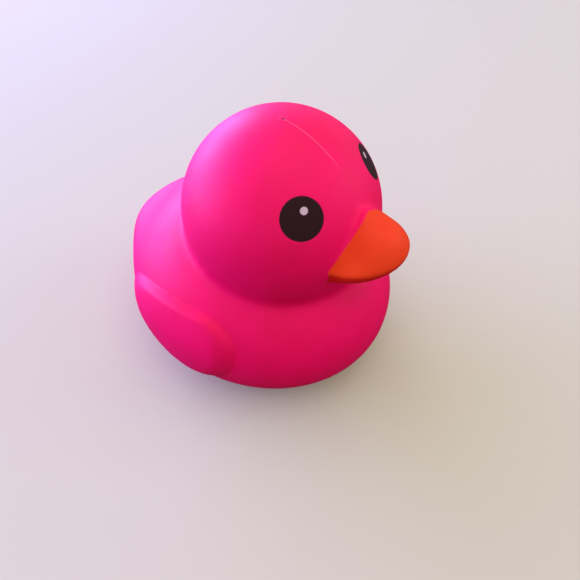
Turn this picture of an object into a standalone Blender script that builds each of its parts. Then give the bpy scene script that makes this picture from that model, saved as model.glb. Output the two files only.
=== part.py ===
"""Squishy duck: a slow-rise foam toy, moulded in one piece.

The duck stands on the flat of its base with the origin in the middle of it. It looks along +X, its left
side is at +Y and +Z is up. Lengths are metres and angles are degrees.

The mould's forms are a bowl-shaped body with a broad tail, a round head and a beak. They are joined and
melted into one skin, a wing is raised on the right flank as a relief, and the right half is mirrored. The
skin is thinned to a light mesh and the flats are cut: the base, and a round flat for each eye. The orange
paint ends at flat cuts through the beak's root, as at the edge of a spray mask.
"""

import math

import bmesh
import bpy
import numpy as np
from mathutils import Matrix, Vector
from mathutils.geometry import interpolate_bezier

# Body: a bowl up to its widest line, with a lower dome on it that the head sits in
BODY_LENGTH = 0.1294
BODY_WIDTH = 0.1128
WIDEST_HEIGHT = 0.0310
SHOULDER_RISE = 0.0490
BACK_DROP = 0.0115
BOWL_SQUARENESS = 1.22
BASE_TRIM = 0.0020

# Head: a ball, its middle a little under the shoulder's top
HEAD_RADIUS = 0.0384
HEAD_DROP = 0.0021
HEAD_FORWARD = 0.0146

# Tail: a broad soft ridge drawn out of the body's rear, a little upward. Its rise is above the widest line
TAIL_PUSH = 0.0078
TAIL_LIFT = 15.0
TAIL_RISE = 0.0130
TAIL_THICKNESS = 0.0085
TAIL_HALF_WIDTH = 0.0325
TAIL_ONSET = 0.0300

# Wing: an oval raised on the flank. Its rises are above the widest line, and its depth is below it
WING_RAISE = 0.0031
WING_FRONT = 0.0297
WING_REAR = 0.0370
WING_TOP_RISE = 0.0265
WING_NOSE_RISE = 0.0120
WING_REAR_RISE = 0.0050
WING_DEPTH = 0.0130
WING_TOP_SLOPE = 0.0045
WING_NOSE_SLOPE = 0.0090
WING_REAR_SLOPE = 0.0170
WING_CURVE_STEPS = 17

# Beak: an oval wedge with a full upper half and a thin lip, turned up at its tip. Its middle lies inside the
# head's front and under the head's middle
BEAK_SINK = 0.0070
BEAK_DROP = 0.0021
BEAK_HALF_LENGTH = 0.0230
BEAK_HALF_WIDTH = 0.0181
BEAK_UPPER = 0.0178
BEAK_LOWER = 0.0055
BEAK_LIFT = 21.8
BEAK_FLANK_ROUNDING = 1.20

# Beak paint: its edge on the head's ball, over the beak, at each corner of the mouth and under the lip
PAINT_TOP_RISE = 24.6
PAINT_CORNER_TURN = 26.9
PAINT_CORNER_RISE = -2.3
PAINT_UNDER_RISE = -11.8

# Eyes: a round flat on each side of the face
EYE_FLAT_RADIUS = 0.0076
EYE_TURN = 37.5
EYE_RISE = 36.3

# Skin: how finely the forms are melted together, how far their edges soften, and the finished mesh
SKIN_GRAIN = 0.0011
SKIN_SOFTENING = 10
SKIN_TRIANGLES = 10500
BALL_SEGMENTS = 96
EYE_SEGMENTS = 40

# Room that a cutter has past what it cuts
CUTTER_REACH = 0.0400

# Finishes: colour, roughness, metallic
FINISHES = {
    "pink_foam_skin": ((0.90, 0.01, 0.19, 1.0), 0.55, 0.0),
    "orange_beak_paint": ((0.88, 0.07, 0.02, 1.0), 0.50, 0.0),
    "black_eye_print": ((0.02, 0.004, 0.012, 1.0), 0.35, 0.0),
}


def clear_scene():
    for old in list(bpy.data.objects):
        bpy.data.objects.remove(old, do_unlink=True)


def make_collection(name):
    collection = bpy.data.collections.new(name)
    bpy.context.scene.collection.children.link(collection)
    return collection


def make_finish(name):
    colour, roughness, metallic = FINISHES[name]
    material = bpy.data.materials.new(name)
    material.diffuse_color = colour
    material.use_nodes = True
    shader = material.node_tree.nodes["Principled BSDF"]
    shader.inputs["Base Color"].default_value = colour
    shader.inputs["Roughness"].default_value = roughness
    shader.inputs["Metallic"].default_value = metallic
    return material


def make_object(name, bm, collection, finish):
    bmesh.ops.recalc_face_normals(bm, faces=bm.faces)
    mesh = bpy.data.meshes.new(name)
    bm.to_mesh(mesh)
    bm.free()
    mesh.materials.append(finish)
    mesh.shade_smooth()
    made = bpy.data.objects.new(name, mesh)
    collection.objects.link(made)
    return made


def make_form(name, bm, collection, finish):
    """A helper that another piece is joined with or cut by. It isn't a piece itself."""
    form = make_object(name, bm, collection, finish)
    form.hide_render = True
    form.display_type = "WIRE"
    return form


def ball_mesh(segments):
    bm = bmesh.new()
    bmesh.ops.create_uvsphere(bm, u_segments=segments, v_segments=segments // 2, radius=1.0)
    return bm


def body_mesh():
    bm = ball_mesh(BALL_SEGMENTS)
    lift = math.radians(TAIL_LIFT)
    for vert in bm.verts:
        across = math.hypot(vert.co.x, vert.co.y)
        if vert.co.z < 0 and across > 1e-6:
            vert.co.xy *= across ** (1 / BOWL_SQUARENESS) / across
            vert.co.z = -abs(vert.co.z) ** (1 / BOWL_SQUARENESS)
        back = min(vert.co.x, 0.0) ** 2
        vert.co.x *= BODY_LENGTH / 2
        vert.co.y *= BODY_WIDTH / 2
        vert.co.z *= SHOULDER_RISE - BACK_DROP * back if vert.co.z > 0 else WIDEST_HEIGHT + BASE_TRIM

        onset = min(max(-vert.co.x / TAIL_ONSET, 0.0), 1.0)
        level = math.exp(-((vert.co.z - TAIL_RISE) / TAIL_THICKNESS) ** 2)
        breadth = math.exp(-(vert.co.y / TAIL_HALF_WIDTH) ** 4)
        push = TAIL_PUSH * onset ** 2 * (3 - 2 * onset) * level * breadth
        vert.co.x -= push * math.cos(lift)
        vert.co.z += push * math.sin(lift) + WIDEST_HEIGHT
    return bm


def head_middle():
    return Vector((HEAD_FORWARD, 0, WIDEST_HEIGHT + SHOULDER_RISE - HEAD_DROP))


def place_on_head(turn, rise):
    """The place on the head's ball that lies this far round to the left and this far up."""
    turn, rise = math.radians(turn), math.radians(rise)
    way = Vector((math.cos(rise) * math.cos(turn), math.cos(rise) * math.sin(turn), math.sin(rise)))
    return head_middle() + way * HEAD_RADIUS


def make_head(collection, finish):
    head = make_form("head_form", ball_mesh(BALL_SEGMENTS), collection, finish)
    head.scale = [HEAD_RADIUS] * 3
    head.location = head_middle()
    return head


def wing_outline():
    """The oval seen from the side, as a closed Bezier curve in X and Z, with Z from the widest line."""
    drop = WING_NOSE_RISE + WING_DEPTH
    rise = WING_TOP_RISE - WING_NOSE_RISE
    crown = WING_FRONT - rise * 1.3
    reach = crown + WING_REAR
    rear_rise = WING_TOP_RISE - WING_REAR_RISE
    rear_drop = WING_REAR_RISE + WING_DEPTH
    return [
        # Place, then the handle before it and the handle after it
        ((WING_FRONT, WING_NOSE_RISE), (0, -drop * 0.55), (0, rise * 0.60)),
        ((crown, WING_TOP_RISE), (rise * 0.7, 0), (-reach * 0.60, rise * 0.03)),
        ((-WING_REAR, WING_REAR_RISE), (rise * 0.07, rear_rise * 0.68), (0, -rear_drop * 0.50)),
        ((WING_FRONT - drop, -WING_DEPTH), (-reach * 0.40, 0), (drop * 0.50, 0)),
    ]


def wing_rise(places, outline):
    """How far up the wing's slopes each place lies: 0 at the outline and outside it, 1 at full height."""
    starts = np.array(outline)
    steps = np.roll(starts, -1, axis=0) - starts
    lengths = (steps ** 2).sum(axis=1)
    # The outline runs from the nose over the top, so it steps back on top and steps down at the rear
    on_top, at_rear = np.clip(-steps.T / np.sqrt(lengths), 0, 1) ** 2
    slopes = WING_NOSE_SLOPE + (WING_TOP_SLOPE - WING_NOSE_SLOPE) * on_top
    slopes += (WING_REAR_SLOPE - WING_NOSE_SLOPE) * at_rear
    away = places[:, None, :] - starts
    along = np.clip((away * steps).sum(axis=2) / lengths, 0, 1)
    gaps = np.linalg.norm(along[..., None] * steps - away, axis=2)
    crosses = (away[..., 1] < 0) != (away[..., 1] - steps[:, 1] < 0)
    with np.errstate(divide="ignore", invalid="ignore"):
        ahead = away[..., 0] < away[..., 1] * steps[:, 0] / steps[:, 1]
    inside = (crosses & ahead).sum(axis=1) % 2 == 1
    rise = np.where(inside, np.minimum((gaps / slopes).min(axis=1), 1.0), 0.0)
    return rise * (2 - rise)


def raise_wing(skin):
    """Lifts the right flank inside the oval. The slope is short on top, longer at the nose, longest behind."""
    points = wing_outline()
    outline = []
    for (place, _, after), (next_place, before, _) in zip(points, points[1:] + points[:1]):
        start = Vector(place)
        end = Vector(next_place)
        curve = interpolate_bezier(start, start + Vector(after), end + Vector(before), end, WING_CURVE_STEPS)
        outline.extend(tuple(point) for point in curve[:-1])
    flank = [vert for vert in skin.verts if vert.co.y < 0 and vert.co.z < head_middle().z]
    places = np.array([(vert.co.x, vert.co.z - WIDEST_HEIGHT) for vert in flank])
    for vert, rise in zip(flank, wing_rise(places, outline)):
        vert.co += vert.normal * WING_RAISE * float(rise)


def make_beak(collection, finish):
    bm = ball_mesh(BALL_SEGMENTS)
    for vert in bm.verts:
        x, y, z = vert.co
        across = math.hypot(x, y)
        if z > 0 and across > 1e-6:
            rounding = 1 + (BEAK_FLANK_ROUNDING - 1) * (y / across) ** 2
            vert.co.xy *= across ** rounding / across
            vert.co.z = z ** rounding
        vert.co.x *= BEAK_HALF_LENGTH
        vert.co.y *= BEAK_HALF_WIDTH
        vert.co.z *= BEAK_UPPER if z > 0 else BEAK_LOWER
    beak = make_form("beak_form", bm, collection, finish)
    beak.rotation_euler.y = -math.radians(BEAK_LIFT)
    beak.location = head_middle() + Vector((HEAD_RADIUS - BEAK_SINK, 0, -BEAK_DROP))
    return beak


def make_eye_cutter(side, collection, finish):
    """A short cylinder whose inner end is the flat under one eye's print. Side is 1 on the left."""
    flat_distance = math.sqrt(HEAD_RADIUS ** 2 - EYE_FLAT_RADIUS ** 2)
    height = HEAD_RADIUS - flat_distance + CUTTER_REACH / 8
    bm = bmesh.new()
    bmesh.ops.create_cone(bm, cap_ends=True, segments=EYE_SEGMENTS, radius1=EYE_FLAT_RADIUS * 1.25,
                          radius2=EYE_FLAT_RADIUS * 1.25, depth=height)
    bmesh.ops.translate(bm, verts=bm.verts, vec=(0, 0, flat_distance + height / 2))
    cutter = make_form("left_eye_cutter" if side > 0 else "right_eye_cutter", bm, collection, finish)
    turn = Matrix.Rotation(math.radians(side * EYE_TURN), 4, "Z")
    tip = Matrix.Rotation(math.radians(90 - EYE_RISE), 4, "Y")
    cutter.matrix_world = Matrix.Translation(head_middle()) @ turn @ tip
    return cutter


def make_base_cutter(collection, finish):
    bm = bmesh.new()
    bmesh.ops.create_cube(bm, size=1.0)
    bmesh.ops.translate(bm, verts=bm.verts, vec=(0, 0, -0.5))
    cutter = make_form("base_cutter", bm, collection, finish)
    cutter.scale = (BODY_LENGTH + CUTTER_REACH, BODY_WIDTH + CUTTER_REACH, BASE_TRIM + CUTTER_REACH)
    return cutter


def add_boolean(target, other, operation):
    boolean = target.modifiers.new(f"{operation.lower()}_{other.name}", "BOOLEAN")
    boolean.operation = operation
    boolean.object = other
    boolean.material_mode = "TRANSFER"


def evaluated_mesh(shape):
    """The shape as its modifiers leave it, as an editable mesh."""
    bpy.context.view_layer.update()
    mesh = bpy.data.meshes.new_from_object(shape.evaluated_get(bpy.context.evaluated_depsgraph_get()))
    bm = bmesh.new()
    bm.from_mesh(mesh)
    bpy.data.meshes.remove(mesh)
    return bm


def melt_together(body):
    """One skin over the joined forms, with its creases softened."""
    remesh = body.modifiers.new("one_skin", "REMESH")
    remesh.mode = "VOXEL"
    remesh.voxel_size = SKIN_GRAIN
    soften = body.modifiers.new("soft_creases", "SMOOTH")
    soften.factor = 0.5
    soften.iterations = SKIN_SOFTENING


def mirror_right_half(skin):
    """The left half becomes the true mirror image of the right one, wing included."""
    everything = [*skin.verts, *skin.edges, *skin.faces]
    bmesh.ops.symmetrize(skin, input=everything, direction="-Y", dist=SKIN_GRAIN / 4)


def thin_mesh(duck):
    skin = evaluated_mesh(duck)
    triangles = sum(len(face.verts) - 2 for face in skin.faces)
    skin.free()
    thin = duck.modifiers.new("light_mesh", "DECIMATE")
    thin.ratio = min(1.0, SKIN_TRIANGLES / triangles)
    thin.use_symmetry = True
    thin.symmetry_axis = "Y"


def paint_beak(bm, slot):
    """Cuts the skin along the flats of the spray mask, and paints what lies ahead of all of them."""
    top = place_on_head(0, PAINT_TOP_RISE)
    under = place_on_head(0, PAINT_UNDER_RISE)
    flats = [(under, (place_on_head(PAINT_CORNER_TURN, PAINT_CORNER_RISE) - under).cross(Vector((0, 1, 0))))]
    for side in (-1, 1):
        corner = place_on_head(side * PAINT_CORNER_TURN, PAINT_CORNER_RISE)
        flats.append((top, (corner - top).cross(head_middle() - top)))
    masks = [(place, ahead if ahead.x > 0 else -ahead) for place, ahead in flats]
    for place, ahead in masks:
        near = [face for face in bm.faces if face.calc_center_median().x > HEAD_FORWARD + HEAD_RADIUS / 2]
        geometry = list({part for face in near for part in (*face.verts, *face.edges, face)})
        bmesh.ops.bisect_plane(bm, geom=geometry, dist=1e-5, plane_co=place, plane_no=ahead.normalized())
    for face in bm.faces:
        middle = face.calc_center_median()
        if all((middle - place).dot(ahead) > 0 for place, ahead in masks):
            face.material_index = slot


def build():
    clear_scene()
    parts = make_collection("squishy_duck")
    forms = make_collection("mould_forms_and_cutters")
    pink, orange, black = (make_finish(name) for name in FINISHES)

    body = make_form("body_form", body_mesh(), forms, pink)
    for form in (make_head(forms, pink), make_beak(forms, pink)):
        add_boolean(body, form, "UNION")
    melt_together(body)
    skin = evaluated_mesh(body)
    raise_wing(skin)
    mirror_right_half(skin)

    shape = make_form("duck_shape", skin, forms, pink)
    thin_mesh(shape)
    for side in (-1, 1):
        add_boolean(shape, make_eye_cutter(side, forms, black), "DIFFERENCE")
    add_boolean(shape, make_base_cutter(forms, pink), "DIFFERENCE")
    skin = evaluated_mesh(shape)
    paint_beak(skin, len(shape.material_slots) + 1)
    duck = make_object("duck", skin, parts, pink)
    duck.data.materials.append(black)
    duck.data.materials.append(orange)


build()
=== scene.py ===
# %% [markdown]
# # A squishy duck, moulded in soft foam
# This duck is a slow-rise foam toy. Liquid foam is poured into a closed mould of two halves, where it swells
# and grows its own smooth skin against the walls. The beak is then sprayed orange through a mask, and the
# eyes are stamped on two small flats. There is one piece, so the lesson is about one good surface: soft
# where the foam rounds a corner, crisp where the mould or the mask had an edge.

import math

import bpy
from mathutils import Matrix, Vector
from mathutils.geometry import interpolate_bezier


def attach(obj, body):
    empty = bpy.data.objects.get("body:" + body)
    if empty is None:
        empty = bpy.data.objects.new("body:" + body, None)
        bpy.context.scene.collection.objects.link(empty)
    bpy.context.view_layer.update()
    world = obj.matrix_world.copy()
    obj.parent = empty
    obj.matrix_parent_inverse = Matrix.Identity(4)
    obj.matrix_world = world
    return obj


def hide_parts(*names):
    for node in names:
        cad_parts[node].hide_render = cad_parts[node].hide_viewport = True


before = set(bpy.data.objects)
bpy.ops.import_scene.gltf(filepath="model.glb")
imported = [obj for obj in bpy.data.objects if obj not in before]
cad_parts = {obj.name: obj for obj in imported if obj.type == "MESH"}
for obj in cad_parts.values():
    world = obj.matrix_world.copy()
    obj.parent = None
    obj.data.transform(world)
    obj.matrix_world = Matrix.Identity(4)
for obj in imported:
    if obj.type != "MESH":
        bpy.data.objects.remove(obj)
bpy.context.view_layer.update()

# %% [markdown]
# ## The camera
# The photo was taken from above and from the duck's front right. The place and the tilt were worked out from
# the picture: the head is a true ball, and the floor boards give the horizon. A short lens this near makes
# the head look larger than the body, which is part of the look.

# %% The camera at the photo's place
CAMERA_PLACE = (0.0951, -0.0945, 0.1876)
CAMERA_TILT = 52.46
CAMERA_TURN = 39.0
CAMERA_LENS = 25.76

view = bpy.data.cameras.new("photo_view")
view.lens = CAMERA_LENS
view.sensor_width = 36.0
view.clip_start = 0.01
camera = bpy.data.objects.new("photo_view", view)
camera.location = CAMERA_PLACE
camera.rotation_euler = (math.radians(90 - CAMERA_TILT), 0, math.radians(CAMERA_TURN))
bpy.context.scene.collection.objects.link(camera)
bpy.context.scene.camera = camera
print("camera", CAMERA_PLACE, "tilted down", CAMERA_TILT)

# %% [markdown]
# ## Two small helpers
# An operator acts on everything that is selected, so each step starts from an empty selection. A modifier is
# added and applied at once, which bakes its result into the mesh.


# %% Helpers for operators and modifiers
def select_only(piece):
    """Makes this piece the only selected one, and the active one."""
    bpy.ops.object.select_all(action="DESELECT")
    piece.select_set(True)
    bpy.context.view_layer.objects.active = piece


def apply_modifier(piece, kind, **settings):
    """Adds a modifier with these settings and bakes it into the mesh."""
    select_only(piece)
    modifier = piece.modifiers.new(kind.lower(), kind)
    for name, value in settings.items():
        setattr(modifier, name, value)
    bpy.ops.object.modifier_apply(modifier=modifier.name)


def add_ball(name, segments=96):
    """A ball of radius 1 at the origin, to be shaped into one of the mould's forms."""
    bpy.ops.object.select_all(action="DESELECT")
    bpy.ops.mesh.primitive_uv_sphere_add(segments=segments, ring_count=segments // 2, radius=1.0)
    ball = bpy.context.object
    ball.name = name
    return ball


# %% [markdown]
# ## The body
# Seen from the side the body is a bowl: its lower half is squarer than a ball, so that it stands broadly,
# and its upper half is a low dome that the head sits in. It could be lofted from sections, but a ball whose
# points are moved by a rule keeps every line smooth. The last lines draw the tail out of the rear like a
# broad soft ridge, the way a grab brush would.

# %% Body with its tail
BODY_LENGTH = 0.1294
BODY_WIDTH = 0.1128
WIDEST_HEIGHT = 0.0310
SHOULDER_RISE = 0.0490
BACK_DROP = 0.0115
BOWL_SQUARENESS = 1.22
BASE_TRIM = 0.0020

TAIL_PUSH = 0.0078
TAIL_LIFT = 15.0
TAIL_RISE = 0.0130
TAIL_THICKNESS = 0.0085
TAIL_HALF_WIDTH = 0.0325
TAIL_ONSET = 0.0300

duck = add_ball("duck_skin")
lift = math.radians(TAIL_LIFT)
for vert in duck.data.vertices:
    across = math.hypot(vert.co.x, vert.co.y)
    if vert.co.z < 0 and across > 1e-6:
        vert.co.xy *= across ** (1 / BOWL_SQUARENESS) / across
        vert.co.z = -abs(vert.co.z) ** (1 / BOWL_SQUARENESS)
    back = min(vert.co.x, 0.0) ** 2
    vert.co.x *= BODY_LENGTH / 2
    vert.co.y *= BODY_WIDTH / 2
    vert.co.z *= SHOULDER_RISE - BACK_DROP * back if vert.co.z > 0 else WIDEST_HEIGHT + BASE_TRIM
    onset = min(max(-vert.co.x / TAIL_ONSET, 0.0), 1.0)
    level = math.exp(-((vert.co.z - TAIL_RISE) / TAIL_THICKNESS) ** 2)
    breadth = math.exp(-(vert.co.y / TAIL_HALF_WIDTH) ** 4)
    push = TAIL_PUSH * onset ** 2 * (3 - 2 * onset) * level * breadth
    vert.co.x -= push * math.cos(lift)
    vert.co.z += push * math.sin(lift) + WIDEST_HEIGHT
print("body", round(duck.dimensions.x, 4), "m long")

# %% [markdown]
# ## The head
# The head is a true ball. It sits deep in the shoulder, and the crease between them runs all round.

# %% Head
HEAD_RADIUS = 0.0384
HEAD_FORWARD = 0.0146
HEAD_SINK = 0.0021
HEAD_MIDDLE = Vector((HEAD_FORWARD, 0, WIDEST_HEIGHT + SHOULDER_RISE - HEAD_SINK))

head = add_ball("head_form")
bpy.ops.object.mode_set(mode="EDIT")
bpy.ops.transform.resize(value=[HEAD_RADIUS] * 3)
bpy.ops.transform.translate(value=HEAD_MIDDLE)
bpy.ops.object.mode_set(mode="OBJECT")
print("head middle", [round(value, 4) for value in HEAD_MIDDLE])


def place_on_head(turn, rise):
    """The place on the head's ball that lies this far round to the left and this far up, in degrees."""
    turn, rise = math.radians(turn), math.radians(rise)
    way = Vector((math.cos(rise) * math.cos(turn), math.cos(rise) * math.sin(turn), math.sin(rise)))
    return HEAD_MIDDLE + way * HEAD_RADIUS


# %% [markdown]
# ## The beak
# The beak is an oval plate that rises towards its tip, with a crown like a small tent on it and a lip below
# that is thick at the mouth's corners and thin at the tip. A ball has the right topology for it: its equator
# becomes the crisp edge, its upper half the crown and its lower half the lip. Near the head the crown flares
# up, so that it runs into the face without a hard step.

# %% Beak
BEAK_SINK = 0.0039
BEAK_LIFT = 0.0028
BEAK_EDGE_TILT = 15.0
BEAK_MIDDLE = HEAD_MIDDLE + Vector((HEAD_RADIUS - BEAK_SINK, 0, BEAK_LIFT))
BEAK_EDGE_SLOPE = math.tan(math.radians(BEAK_EDGE_TILT))
BEAK_REACH = 0.0179
BEAK_HALF_WIDTH = 0.0169
BEAK_CROWN = 0.0116
BEAK_RIDGE_POWER = 4.4
BEAK_FLANK_POWER = 1.6
BEAK_LIP_AT_ROOT = 0.0064
BEAK_LIP_AT_TIP = 0.0036
BEAK_LIP_SQUARENESS = 3.0
BEAK_FLARE = 0.40
BEAK_FLARE_REACH = 0.0045
BEAK_FLARE_BREADTH = 1.00

beak = add_ball("beak_form")
for vert in beak.data.vertices:
    x, y, z = vert.co
    across = max(math.hypot(x, y), 1e-6)
    crown = z > -1e-6
    if crown:
        power = BEAK_RIDGE_POWER + (BEAK_FLANK_POWER - BEAK_RIDGE_POWER) * (y / across) ** 2
        height = BEAK_CROWN * (1 - across ** power)
    else:
        widen = across ** (1 / BEAK_LIP_SQUARENESS) / across
        x *= widen
        y *= widen
        lip = BEAK_LIP_AT_ROOT + (BEAK_LIP_AT_TIP - BEAK_LIP_AT_ROOT) * x
        height = -lip * abs(z) ** (1 / BEAK_LIP_SQUARENESS)
    x *= BEAK_REACH
    vert.co = BEAK_MIDDLE + Vector((x, y * BEAK_HALF_WIDTH, x * BEAK_EDGE_SLOPE + height))
    if crown:
        gap = (vert.co - HEAD_MIDDLE).length - HEAD_RADIUS
        near_ridge = math.exp(-(y / BEAK_FLARE_BREADTH) ** 2)
        vert.co.z += height * BEAK_FLARE * near_ridge * math.exp(-(gap / BEAK_FLARE_REACH) ** 2)
print("beak tip at", round(max(vert.co.x for vert in beak.data.vertices), 4))

# %% [markdown]
# ## Melting the forms into one skin
# Three overlapping forms become one skin with a voxel remesh: it keeps only the outer surface, as foam in a
# mould does. Smoothing then rounds the creases, and a vertex group says how much. The beak keeps more of its
# edges than the body does: its lip hardly softens at all, its crown and its root somewhat less than the rest.
# A second smoothing works only in a band round the neck, where the foam flows in a wide fillet.

# %% One soft skin
SKIN_GRAIN = 0.00083
SKIN_SOFTENING = 16
LIP_SOFTNESS = 0.02
ROOT_SOFTNESS = 0.72
NECK_SOFTENING = 50
NECK_REACH = 0.0065
NECK_CORE = 0.3

# Where the beak's firmer edges begin and end: behind it, under it, above its lip and above its root
BEAK_BEHIND = (-0.0070, -0.0040)
BEAK_BELOW = (-0.0130, -0.0100)
LIP_TOP = (0.0015, 0.0040)
ROOT_TOP = (0.0150, 0.0190)

bpy.ops.object.select_all(action="DESELECT")
for form in (head, beak, duck):
    form.select_set(True)
bpy.context.view_layer.objects.active = duck
bpy.ops.object.join()
apply_modifier(duck, "REMESH", mode="VOXEL", voxel_size=SKIN_GRAIN)


def fade(value, low, high):
    """0 below low, 1 above high, and a smooth rise between them."""
    share = min(max((value - low) / (high - low), 0.0), 1.0)
    return share * share * (3 - 2 * share)


def gap_to_neck(place):
    """About how far a place is from the line where the head meets the body's dome."""
    to_head = (place - HEAD_MIDDLE).length - HEAD_RADIUS
    dome = Vector((place.x * 2 / BODY_LENGTH, place.y * 2 / BODY_WIDTH,
                   (place.z - WIDEST_HEIGHT) / SHOULDER_RISE))
    return math.hypot(to_head, (dome.length - 1) * SHOULDER_RISE)


softness = duck.vertex_groups.new(name="softness")
neck = duck.vertex_groups.new(name="neck")
for vert in duck.data.vertices:
    place = vert.co - BEAK_MIDDLE
    above = place.z - place.x * BEAK_EDGE_SLOPE
    beside = fade(place.x, *BEAK_BEHIND) * fade(above, *BEAK_BELOW)
    on_lip = beside * (1 - fade(above, *LIP_TOP))
    on_root = beside * (1 - fade(above, *ROOT_TOP))
    soft = 1 - (1 - ROOT_SOFTNESS) * on_root - (ROOT_SOFTNESS - LIP_SOFTNESS) * on_lip
    softness.add([vert.index], soft, "REPLACE")
    neck.add([vert.index], 1 - fade(gap_to_neck(vert.co), NECK_CORE * NECK_REACH, NECK_REACH), "REPLACE")
apply_modifier(duck, "SMOOTH", factor=0.5, iterations=SKIN_SOFTENING, vertex_group="softness")
apply_modifier(duck, "SMOOTH", factor=0.5, iterations=NECK_SOFTENING, vertex_group="neck")
print("skin", len(duck.data.polygons), "faces")

# %% [markdown]
# ## The wings
# Each wing is a low relief on the flank: an oval a few millimetres proud, seen from the side. Its top edge
# drops in a short slope that catches the light, the nose falls off more gently, and the rear fades out. The
# oval is drawn as a Bezier curve, and each point of the flank is lifted along its normal by how far inside
# the curve it lies.

# %% Wing relief
WING_RAISE = 0.0024
WING_FRONT = 0.0297
WING_REAR = 0.0370
WING_TOP_RISE = 0.0259
WING_NOSE_RISE = 0.0120
WING_REAR_RISE = 0.0050
WING_DEPTH = 0.0130
WING_TOP_SLOPE = 0.0026
WING_NOSE_SLOPE = 0.0090
WING_REAR_SLOPE = 0.0170
CURVE_POINTS = 17


def wing_outline():
    """The oval as points in X and Z, with Z from the widest line. It runs from the nose over the top."""
    drop = WING_NOSE_RISE + WING_DEPTH
    rise = WING_TOP_RISE - WING_NOSE_RISE
    crown = WING_FRONT - rise * 1.3
    reach = crown + WING_REAR
    rear_rise = WING_TOP_RISE - WING_REAR_RISE
    rear_drop = WING_REAR_RISE + WING_DEPTH
    corners = [
        # Place, then the handle before it and the handle after it
        ((WING_FRONT, WING_NOSE_RISE), (0, -drop * 0.55), (0, rise * 0.60)),
        ((crown, WING_TOP_RISE), (rise * 0.7, 0), (-reach * 0.60, rise * 0.03)),
        ((-WING_REAR, WING_REAR_RISE), (rise * 0.07, rear_rise * 0.68), (0, -rear_drop * 0.50)),
        ((WING_FRONT - drop, -WING_DEPTH), (-reach * 0.40, 0), (drop * 0.50, 0)),
    ]
    points = []
    for (place, _, after), (next_place, before, _) in zip(corners, corners[1:] + corners[:1]):
        start = Vector(place)
        end = Vector(next_place)
        curve = interpolate_bezier(start, start + Vector(after), end + Vector(before), end, CURVE_POINTS)
        points.extend(curve[:-1])
    return points


def wing_slopes(points):
    """Each step of the outline with the width of the slope inside it."""
    slopes = []
    for start, end in zip(points, points[1:] + points[:1]):
        step = end - start
        on_top = max(-step.x / step.length, 0.0) ** 2
        at_rear = max(-step.y / step.length, 0.0) ** 2
        width = WING_NOSE_SLOPE + (WING_TOP_SLOPE - WING_NOSE_SLOPE) * on_top
        slopes.append((start, step, width + (WING_REAR_SLOPE - WING_NOSE_SLOPE) * at_rear))
    return slopes


def wing_rise(place, slopes):
    """0 outside the outline, 1 at the wing's full height, and a rounded slope between them."""
    rise = 1.0
    crossings = 0
    for start, step, width in slopes:
        away = place - start
        along = min(max(away.dot(step) / step.length_squared, 0.0), 1.0)
        rise = min(rise, (step * along - away).length / width)
        if (away.y < 0) != (away.y < step.y) and away.x < away.y * step.x / step.y:
            crossings += 1
    return rise * (2 - rise) if crossings % 2 else 0.0


slopes = wing_slopes(wing_outline())
lifts = []
for vert in duck.data.vertices:
    place = Vector((vert.co.x, vert.co.z - WIDEST_HEIGHT))
    near = -WING_REAR < place.x < WING_FRONT and -WING_DEPTH < place.y < WING_TOP_RISE * 1.02
    lifts.append(WING_RAISE * wing_rise(place, slopes) if near else 0.0)
normals = [vert.normal.copy() for vert in duck.data.vertices]
for vert, normal, height in zip(duck.data.vertices, normals, lifts):
    vert.co += normal * height
duck.data.update()
print("wings raise", sum(height > 0 for height in lifts), "points")

# %% [markdown]
# ## The flats
# Ink can't be stamped on a ball, so the mould has a small round flat for each eye. A cylinder whose end lies
# just under the skin cuts it. The base is cut flat with a bisect that closes the hole, because the duck
# stands on it.

# %% Eye flats and base
EYE_TURN = 38.3
EYE_RISE = 36.2
EYE_FLAT_RADIUS = 0.0076
CUTTER_SPREAD = 1.25
CUTTER_LENGTH = 0.0060
BISECT_THRESHOLD = 0.000001

flat_depth = math.sqrt(HEAD_RADIUS ** 2 - EYE_FLAT_RADIUS ** 2)
for side in (-1, 1):
    axis = (place_on_head(side * EYE_TURN, EYE_RISE) - HEAD_MIDDLE).normalized()
    bpy.ops.object.select_all(action="DESELECT")
    bpy.ops.mesh.primitive_cylinder_add(
        vertices=96, radius=EYE_FLAT_RADIUS * CUTTER_SPREAD, depth=CUTTER_LENGTH,
        location=HEAD_MIDDLE + axis * (flat_depth + CUTTER_LENGTH / 2),
        rotation=axis.to_track_quat("Z", "Y").to_euler())
    cutter = bpy.context.object
    apply_modifier(duck, "BOOLEAN", operation="DIFFERENCE", object=cutter, solver="EXACT")
    bpy.data.objects.remove(cutter, do_unlink=True)

select_only(duck)
bpy.ops.object.mode_set(mode="EDIT")
bpy.ops.mesh.select_all(action="SELECT")
# The default threshold of 0.1 mm takes in points close to the plane and leaves a broken rim
bpy.ops.mesh.bisect(plane_co=(0, 0, 0), plane_no=(0, 0, 1), use_fill=True, clear_inner=True,
                    threshold=BISECT_THRESHOLD)
bpy.ops.mesh.select_all(action="SELECT")
bpy.ops.mesh.normals_make_consistent(inside=False)
bpy.ops.object.mode_set(mode="OBJECT")
select_only(duck)
bpy.ops.object.shade_smooth_by_angle(angle=math.radians(40))
triangles = sum(len(face.vertices) - 2 for face in duck.data.polygons)
print("duck", [round(size * 1000, 1) for size in duck.dimensions], "mm,", triangles, "triangles")
print("mesh needed repair:", duck.data.validate())

# %% [markdown]
# ## Where the paint ends
# The spray mask clips round the beak, so the edge of the paint is a few flat cuts: one down each cheek, one
# under the lip, and one beside each corner of the mouth. Each point of the mesh keeps how many millimetres it
# lies ahead of the nearest cut. The material turns that number into paint, and because it changes evenly from
# point to point the edge comes out sharp, whatever the size of the faces.

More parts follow.
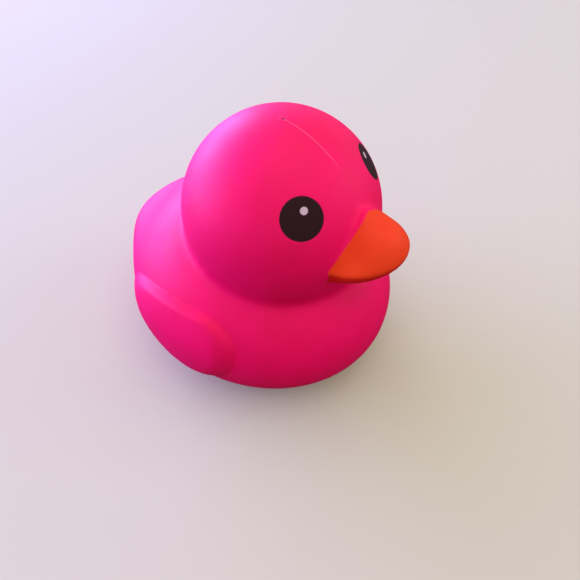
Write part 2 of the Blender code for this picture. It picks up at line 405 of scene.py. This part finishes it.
# %% Distance to the paint's edge
PAINT_TOP_RISE = 25.5
PAINT_FLANK_TURN = 18.8
PAINT_FLANK_RISE = 13.6
PAINT_CHEEK_TURN = 26.4
PAINT_CHEEK_RISE = 5.2
PAINT_UNDER_RISE = -4.0
PAINT_CORNER_RISE = -4.0
PAINT_HALF_WIDTH = 0.0173


def mask_cut(a, b, c):
    """A plane through three points, with its normal towards the beak's tip."""
    normal = (b - a).cross(c - a).normalized()
    tip = BEAK_MIDDLE + Vector((BEAK_REACH, 0, 0))
    return a, normal if normal.dot(tip - a) > 0 else -normal


top = place_on_head(0, PAINT_TOP_RISE)
under = place_on_head(0, PAINT_UNDER_RISE)
corner = place_on_head(PAINT_CHEEK_TURN, PAINT_CORNER_RISE)
cuts = [mask_cut(under, corner, corner + Vector((0, 1, 0)))]
for side in (-1, 1):
    flank = place_on_head(side * PAINT_FLANK_TURN, PAINT_FLANK_RISE)
    cuts.append(mask_cut(top, flank, place_on_head(side * PAINT_CHEEK_TURN, PAINT_CHEEK_RISE)))
distances = []
for vert in duck.data.vertices:
    beside = PAINT_HALF_WIDTH - abs(vert.co.y)
    distances.append(1000 * min(beside, *((vert.co - place).dot(normal) for place, normal in cuts)))
ahead = duck.data.attributes.new("ahead_of_mask_mm", "FLOAT", "POINT")
ahead.data.foreach_set("value", distances)
print("painted points", sum(distance > 0 for distance in distances))

# %% [markdown]
# ## Colours and nodes
# Colours are given as sRGB hex values, but a shader works in linear light, so one function turns
# them. The other functions add nodes with their settings and links, which keeps a node tree readable.


# %% Helpers for materials
def colour(text):
    """An sRGB hex colour as linear RGBA."""
    values = [int(text[i:i + 2], 16) / 255 for i in (1, 3, 5)]
    return [v / 12.92 if v <= 0.04045 else ((v + 0.055) / 1.055) ** 2.4 for v in values] + [1.0]


def add_node(tree, kind, settings=None, **links):
    """Adds a node. A link's value is a socket to connect or a plain value, and its name is the input's."""
    node = tree.nodes.new(kind)
    for name, value in (settings or {}).items():
        setattr(node, name, value)
    for name, value in links.items():
        key = int(name[1:]) if name[0] == "i" and name[1:].isdigit() else name.replace("_", " ")
        if isinstance(value, bpy.types.NodeSocket):
            tree.links.new(value, node.inputs[key])
        else:
            node.inputs[key].default_value = value
    return node


def calculate(tree, operation, *values):
    """The result of a math node. Each value is a socket or a number."""
    links = {f"i{number}": value for number, value in enumerate(values)}
    return add_node(tree, "ShaderNodeMath", {"operation": operation}, **links).outputs[0]


def ramp(tree, value, low, high, start=0.0, end=1.0):
    """The start before low, the end beyond high, and an even ramp between them."""
    return add_node(tree, "ShaderNodeMapRange", Value=value, From_Min=low, From_Max=high,
                    To_Min=start, To_Max=end).outputs["Result"]


def blend(tree, mask, first, second):
    """The first colour where the mask is 0, and the second where it is 1."""
    return add_node(tree, "ShaderNodeMix", {"data_type": "RGBA"}, Factor=mask, i6=first, i7=second).outputs[2]


# %% [markdown]
# ## Foam skin, beak paint and eye ink
# The skin is pigmented polyurethane. Against a polished mould it comes out satin: a wide, soft highlight and
# no mirror. Seen close it isn't even. The pigment is a little cloudy over a centimetre or two, and the skin
# has a fine dimple like an eggshell. The beak's paint lies on the same skin and repeats its dimple. The eyes
# are black ink with a pale round dot, a little smoother than the skin. All of it is one piece of foam, so it
# is one material with masks.

# %% The duck's material
PINK = "#FA0060"
PINK_DEEP = "#F20058"
ORANGE = "#F64014"
ORANGE_DEEP = "#EE3810"
LIP_SHADE_RED = "#D2040A"
CLOUDS_PER_METRE = 65.0
CLOUD_RANGE = (0.35, 0.65)
LIP_SHADE_BELOW_EDGE = (0.0002, 0.0014)
DEEPEST_LIP_SHADE = 0.85
PAINT_EDGE_MM = 0.16

foam = bpy.data.materials.new("polyurethane_foam_skin_moulded")
foam.use_nodes = True
tree = foam.node_tree
tree.nodes.clear()
place = add_node(tree, "ShaderNodeTexCoord").outputs["Object"]
parts = add_node(tree, "ShaderNodeSeparateXYZ", Vector=place)

# Cloudy pigment, about 15 mm across
cloud = add_node(tree, "ShaderNodeTexNoise", Vector=place, Scale=CLOUDS_PER_METRE, Detail=3.0, Roughness=0.5)
cloudiness = ramp(tree, cloud.outputs["Fac"], *CLOUD_RANGE)
pink = blend(tree, cloudiness, colour(PINK_DEEP), colour(PINK))
orange = blend(tree, cloudiness, colour(ORANGE_DEEP), colour(ORANGE))

# Below the beak's edge the lip's face turns down, away from the light, so its orange is darkened to red
# there: painted shade
edge_height = calculate(tree, "MULTIPLY_ADD", parts.outputs["X"], BEAK_EDGE_SLOPE,
                        BEAK_MIDDLE.z - BEAK_MIDDLE.x * BEAK_EDGE_SLOPE)
below_edge = calculate(tree, "SUBTRACT", edge_height, parts.outputs["Z"])
lip_shade = ramp(tree, below_edge, *LIP_SHADE_BELOW_EDGE, end=DEEPEST_LIP_SHADE)
lip_shaded_orange = blend(tree, lip_shade, orange, colour(LIP_SHADE_RED))

# Paint where the surface lies ahead of the mask's cuts, with a narrow soft edge
ahead_mm = add_node(tree, "ShaderNodeAttribute", {"attribute_name": "ahead_of_mask_mm"}).outputs["Fac"]
painted = ramp(tree, ahead_mm, -PAINT_EDGE_MM / 2, PAINT_EDGE_MM / 2)
skin_colour = blend(tree, painted, pink, lip_shaded_orange)
print("material", foam.name, "with", len(tree.nodes), "nodes so far")

# %% [markdown]
# The ink is a disc 14 mm across, centred on the flat. Each eye has an axis from the head's middle through the
# middle of its flat, and the distance from that axis is the length of a cross product. The dot is the same
# stamp on both eyes, so it is shifted the same way on each: up, and to the duck's left.

# %% Eye ink by distance from the eye's axis
INK = "#26050F"
DOT = "#D2B2BC"
EYE_INK_RADIUS = 0.0070
INK_EDGE = 0.00025
DOT_RADIUS = 0.00125
DOT_UP = 0.0024
DOT_LEFT = 0.0010


def distance_from_axis(axis, offset=(0, 0, 0)):
    """How far a place is from the line through the head's middle along the axis. Behind it counts as far."""
    start = add_node(tree, "ShaderNodeVectorMath", {"operation": "SUBTRACT"}, i0=place,
                     i1=HEAD_MIDDLE + Vector(offset)).outputs[0]
    crossed = add_node(tree, "ShaderNodeVectorMath", {"operation": "CROSS_PRODUCT"}, i0=start, i1=axis)
    length = add_node(tree, "ShaderNodeVectorMath", {"operation": "LENGTH"}, i0=crossed.outputs[0])
    along = add_node(tree, "ShaderNodeVectorMath", {"operation": "DOT_PRODUCT"}, i0=start, i1=axis)
    behind = calculate(tree, "LESS_THAN", along.outputs["Value"], 0.0)
    return calculate(tree, "ADD", length.outputs["Value"], behind)


def inside(distance, radius, edge):
    """1 nearer than the radius and 0 past it, over a soft edge of this width."""
    return ramp(tree, distance, radius + edge / 2, radius - edge / 2)


ink_masks = []
dot_masks = []
for side in (-1, 1):
    axis = (place_on_head(side * EYE_TURN, EYE_RISE) - HEAD_MIDDLE).normalized()
    leftward = Vector((-axis.y, axis.x, 0)).normalized()
    upward = axis.cross(leftward)
    ink_masks.append(inside(distance_from_axis(axis), EYE_INK_RADIUS, INK_EDGE))
    dot = leftward * DOT_LEFT + upward * DOT_UP
    dot_masks.append(inside(distance_from_axis(axis, dot), DOT_RADIUS, INK_EDGE))
inked = calculate(tree, "MAXIMUM", *ink_masks)
dotted = calculate(tree, "MAXIMUM", *dot_masks)
with_ink = blend(tree, inked, skin_colour, colour(INK))
with_dots = blend(tree, dotted, with_ink, colour(DOT))
print("eye ink radius", EYE_INK_RADIUS)

# %% [markdown]
# Small marks make it a real moulding. Specks of dark dust sit in the paint and the ink, each about half a
# millimetre across. A fine line of flash runs down the forehead where the mould's halves met, from the little
# nick on the crown where the last air left the mould. The nick's hollow is coloured a darker pink: painted
# shade.

# %% Specks, flash line and crown nick
SPECK = "#5A1420"
SPECK_CELLS_PER_METRE = 600.0
SPECK_STRENGTH = 0.55
# In cells: where a speck begins, and where it has its full colour
SPECK_RIM = (0.16, 0.11)
# A cell holds a speck when its random number is above this, as for one in ten
SPECK_CHOICE = 0.90

FLASH = "#FF9AC8"
FLASH_HALF_WIDTH = 0.00016
FLASH_EDGE = 0.00022
FLASH_FRONT = (0.0400, 0.0340)
FLASH_LOWEST = 0.1000
FLASH_TINT = 0.22

NICK_SHADE_PINK = "#A8104A"
NICK = place_on_head(0, 88.0)
NICK_RADIUS = 0.0006
COLLAR_RADIUS = 0.0016
COLLAR_EDGE = 0.0012

specks = add_node(tree, "ShaderNodeTexVoronoi", Vector=place, Scale=SPECK_CELLS_PER_METRE, Randomness=1.0)
speck_size = ramp(tree, specks.outputs["Distance"], *SPECK_RIM)
speck_chance = add_node(tree, "ShaderNodeSeparateColor", Color=specks.outputs["Color"])
chosen = calculate(tree, "GREATER_THAN", speck_chance.outputs["Red"], SPECK_CHOICE)
coated = calculate(tree, "MAXIMUM", painted, inked)
in_coat = calculate(tree, "MULTIPLY", coated, chosen)
speck = calculate(tree, "MULTIPLY", speck_size, in_coat)
speck_strength = calculate(tree, "MULTIPLY", speck, SPECK_STRENGTH)
with_specks = blend(tree, speck_strength, with_dots, colour(SPECK))

beside = calculate(tree, "ABSOLUTE", parts.outputs["Y"])
from_front = ramp(tree, parts.outputs["X"], *FLASH_FRONT)
from_nick = calculate(tree, "GREATER_THAN", parts.outputs["X"], NICK.x)
on_crown = calculate(tree, "GREATER_THAN", parts.outputs["Z"], FLASH_LOWEST)
flash = inside(beside, FLASH_HALF_WIDTH, FLASH_EDGE)
for limit in (from_front, from_nick, on_crown):
    flash = calculate(tree, "MULTIPLY", flash, limit)
flash_tint = calculate(tree, "MULTIPLY", flash, FLASH_TINT)
with_flash = blend(tree, flash_tint, with_specks, colour(FLASH))

from_middle = add_node(tree, "ShaderNodeVectorMath", {"operation": "DISTANCE"}, i0=place, i1=NICK)
nick = inside(from_middle.outputs["Value"], NICK_RADIUS, NICK_RADIUS)
collar = inside(from_middle.outputs["Value"], COLLAR_RADIUS, COLLAR_EDGE)
# The nick's hollow is darkened with painted shade
with_nick_shade = blend(tree, nick, with_flash, colour(NICK_SHADE_PINK))
print("nick at", [round(value, 4) for value in NICK])

# %% [markdown]
# The dimple is two layers of noise: an eggshell of about 1.5 mm that only bends the highlight, and a finer
# grain that keeps it from looking like wet plastic. The flash line stands up, and the nick is pressed in with
# a raised collar round it. Roughness varies with the clouds, so that the satin isn't perfectly even.

# %% Bump, roughness and the shader
EGGSHELL_PER_METRE = 650.0
GRAINS_PER_METRE = 3200.0
GRAIN_SHARE = 0.35
FLASH_HEIGHT = 4.0
COLLAR_HEIGHT = 5.0
NICK_DEPTH = 14.0
BUMP_STRENGTH = 0.35
BUMP_DISTANCE = 0.00006
WIDE_CLOUD_RANGE = (0.3, 0.7)
SKIN_ROUGHNESS = (0.50, 0.58)
INK_ROUGHNESS = 0.42

eggshell = add_node(tree, "ShaderNodeTexNoise", Vector=place, Scale=EGGSHELL_PER_METRE, Detail=2.0,
                    Roughness=0.5)
grain = add_node(tree, "ShaderNodeTexNoise", Vector=place, Scale=GRAINS_PER_METRE, Detail=2.0, Roughness=0.6)
height = calculate(tree, "MULTIPLY_ADD", grain.outputs["Fac"], GRAIN_SHARE, eggshell.outputs["Fac"])
for mark, rise in ((flash, FLASH_HEIGHT), (collar, COLLAR_HEIGHT), (nick, -NICK_DEPTH)):
    height = calculate(tree, "MULTIPLY_ADD", mark, rise, height)
bump = add_node(tree, "ShaderNodeBump", Height=height, Strength=BUMP_STRENGTH, Distance=BUMP_DISTANCE)
roughness = ramp(tree, cloud.outputs["Fac"], *WIDE_CLOUD_RANGE, *SKIN_ROUGHNESS)
with_smooth_ink = add_node(tree, "ShaderNodeMix", {"data_type": "FLOAT"}, Factor=inked, i2=roughness,
                           i3=INK_ROUGHNESS)
skin = add_node(tree, "ShaderNodeBsdfPrincipled", Base_Color=with_nick_shade, Roughness=with_smooth_ink.outputs[0],
                Normal=bump.outputs[0], IOR=1.5, Specular_IOR_Level=0.17)
add_node(tree, "ShaderNodeOutputMaterial", Surface=skin.outputs[0])

duck.data.materials.clear()
duck.data.materials.append(foam)
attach(duck, "root")
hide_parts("duck")
print("material", foam.name, "with", len(tree.nodes), "nodes")

# %% [markdown]
# ## Floor and light
# The duck stands on a plain pale floor. A long lamp behind the duck, on the picture's left, is the window. A
# weak wide one overhead is the ceiling, a weaker one on the picture's right is the far wall, and the pale
# room fills the rest. The floor looks pale to the camera, but to the duck it is darker, as bare wood is.

# %% Floor, lamps and world
FLOOR_SIZE = 6.0
FLOOR_SEEN = "#C6BEA2"
FLOOR_REFLECTED = "#4C3E34"
ROOM = "#FFF8F4"
ROOM_STRENGTH = 0.72
AIM = (0, 0, 0.06)

bpy.ops.object.select_all(action="DESELECT")
bpy.ops.mesh.primitive_plane_add(size=FLOOR_SIZE)
floor = bpy.context.object
floor.name = "studio_floor"
paper = bpy.data.materials.new("matt_backdrop_paper")
paper.use_nodes = True
tree = paper.node_tree
tree.nodes.clear()
rays = add_node(tree, "ShaderNodeLightPath")
paper_colour = blend(tree, rays.outputs["Is Camera Ray"], colour(FLOOR_REFLECTED), colour(FLOOR_SEEN))
matt = add_node(tree, "ShaderNodeBsdfPrincipled", Base_Color=paper_colour, Roughness=0.9)
add_node(tree, "ShaderNodeOutputMaterial", Surface=matt.outputs[0])
floor.data.materials.append(paper)


def add_lamp(name, place, width, height, power, tint):
    """Adds an area lamp that points at the duck. Sizes are in metres and the power in watts."""
    light = bpy.data.lights.new(name, "AREA")
    light.shape = "RECTANGLE"
    light.size = width
    light.size_y = height
    light.energy = power
    light.color = colour(tint)[:3]
    lamp = bpy.data.objects.new(name, light)
    lamp.location = place
    lamp.rotation_euler = (Vector(AIM) - Vector(place)).to_track_quat("-Z", "Y").to_euler()
    bpy.context.scene.collection.objects.link(lamp)


add_lamp("window", (-2.26, -0.24, 0.52), 4.0, 0.9, 280.0, "#9698FF")
add_lamp("ceiling", (0.10, 0.10, 1.40), 1.4, 1.4, 9.5, "#E4E8FF")
add_lamp("far_wall", (1.20, 1.20, 0.80), 1.0, 0.8, 7.0, "#D8ECFF")

world = bpy.data.worlds.new("pale_room")
world.use_nodes = True
background = world.node_tree.nodes["Background"]
background.inputs["Color"].default_value = colour(ROOM)
background.inputs["Strength"].default_value = ROOM_STRENGTH
bpy.context.scene.world = world
bpy.context.scene.view_settings.view_transform = "Standard"
print("lamps:", [light.name for light in bpy.data.lights])
